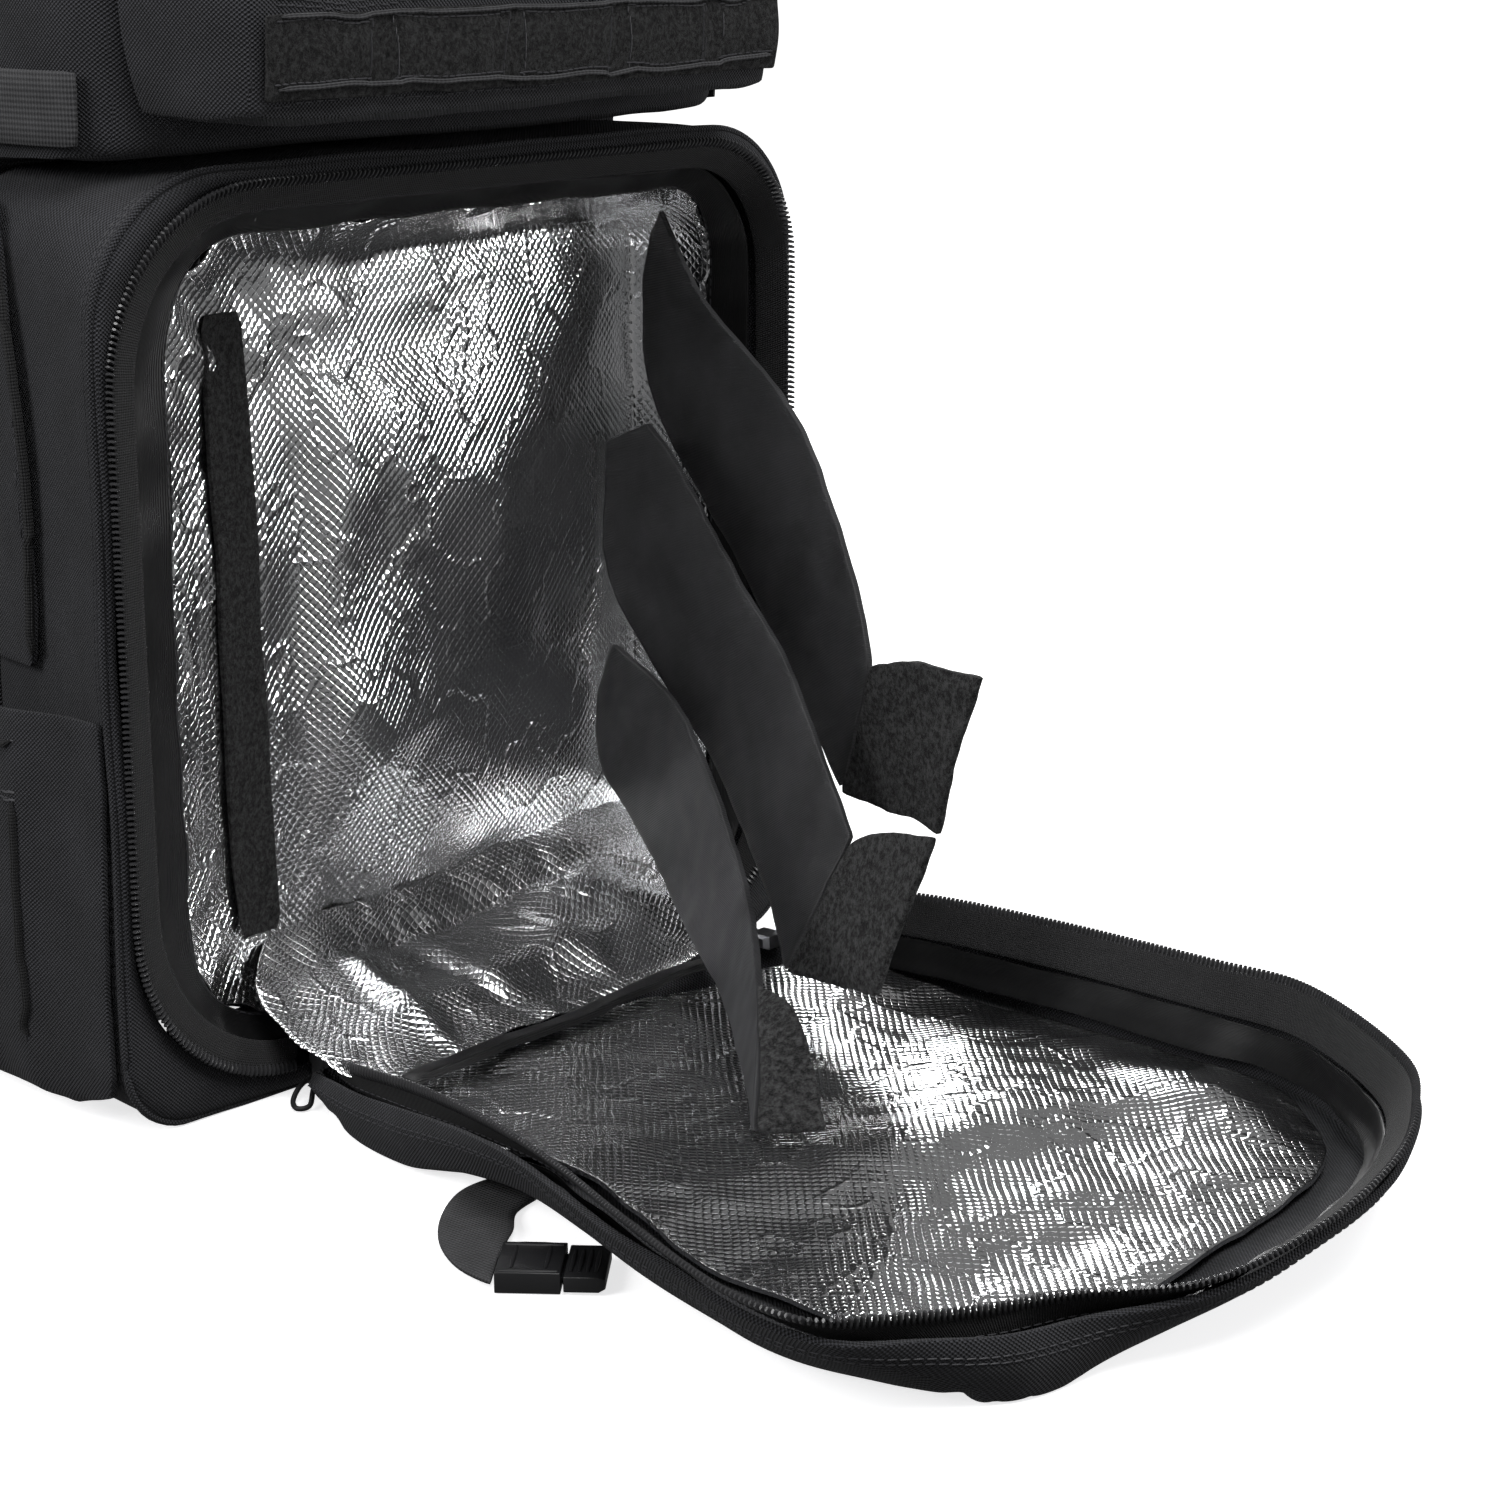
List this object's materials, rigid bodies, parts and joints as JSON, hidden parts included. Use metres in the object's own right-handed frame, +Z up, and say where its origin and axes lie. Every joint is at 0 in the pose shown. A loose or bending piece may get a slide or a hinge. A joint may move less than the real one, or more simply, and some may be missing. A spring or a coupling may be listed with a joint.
{
  "type": "gym backpack",
  "caption": "Black cloth gym backpack standing upright, its foil-lined cooler compartment unzipped and the tray-shaped lid lying open on the floor in front.",
  "frame": {"origin": "middle of the body's flat base, on the floor", "axes": "+Z up, +Y from the front towards the wearer's back, +X to the right seen from the front"},
  "size_m": [0.3408, 0.6071, 0.5494],
  "materials": {
    "cloth": "woven nylon, matt",
    "nylon": "smooth coated cloth, slight sheen",
    "tape": "woven tape, matt",
    "plastic": "moulded, fine grain",
    "foil": "embossed metallised film on foam",
    "steel": "plated, satin"
  },
  "bodies": {
    "root": {"back_pad": "cloth", "bottle_pocket_left": "cloth", "bottle_pocket_right": "cloth", "buckle_body": "plastic", "buckle_latch": "plastic", "cooler_facing": "nylon", "cooler_floor": "foil", "cooler_lining": "foil", "cooler_shell": "cloth", "cooler_zip_coil": "tape", "cooler_zip_tape": "tape", "divider_low": "nylon", "divider_low_tab": "tape", "divider_middle": "nylon", "divider_middle_tab": "tape", "divider_top": "nylon", "divider_top_tab": "tape", "front_pocket": "cloth", "front_pocket_flap": "cloth", "grab_handle": "tape", "hinge_binding": "nylon", "hinge_panel": "cloth", "ladder_lock_left": "plastic", "ladder_lock_right": "plastic", "lid_lining": "foil", "lid_shell": "cloth", "lid_strap": "tape", "lid_wall_lining": "nylon", "lid_zip_coil": "tape", "lid_zip_tape": "tape", "loop_panel": "tape", "main_body": "cloth", "main_zip_coil": "tape", "main_zip_pull": "steel", "main_zip_slider": "steel", "main_zip_tape": "tape", "pull_cord_far": "tape", "pull_cord_near": "tape", "shoulder_strap_left": "cloth", "shoulder_strap_right": "cloth", "side_loop_strip": "tape", "side_pocket_left": "cloth", "side_pocket_right": "cloth", "side_webbing_left": "tape", "side_webbing_right": "tape", "strap_webbing_left": "tape", "strap_webbing_right": "tape", "top_panel": "cloth", "zip_pull_far": "steel", "zip_pull_near": "steel", "zip_slider_far": "steel", "zip_slider_near": "steel"}
  },
  "joints": []
}
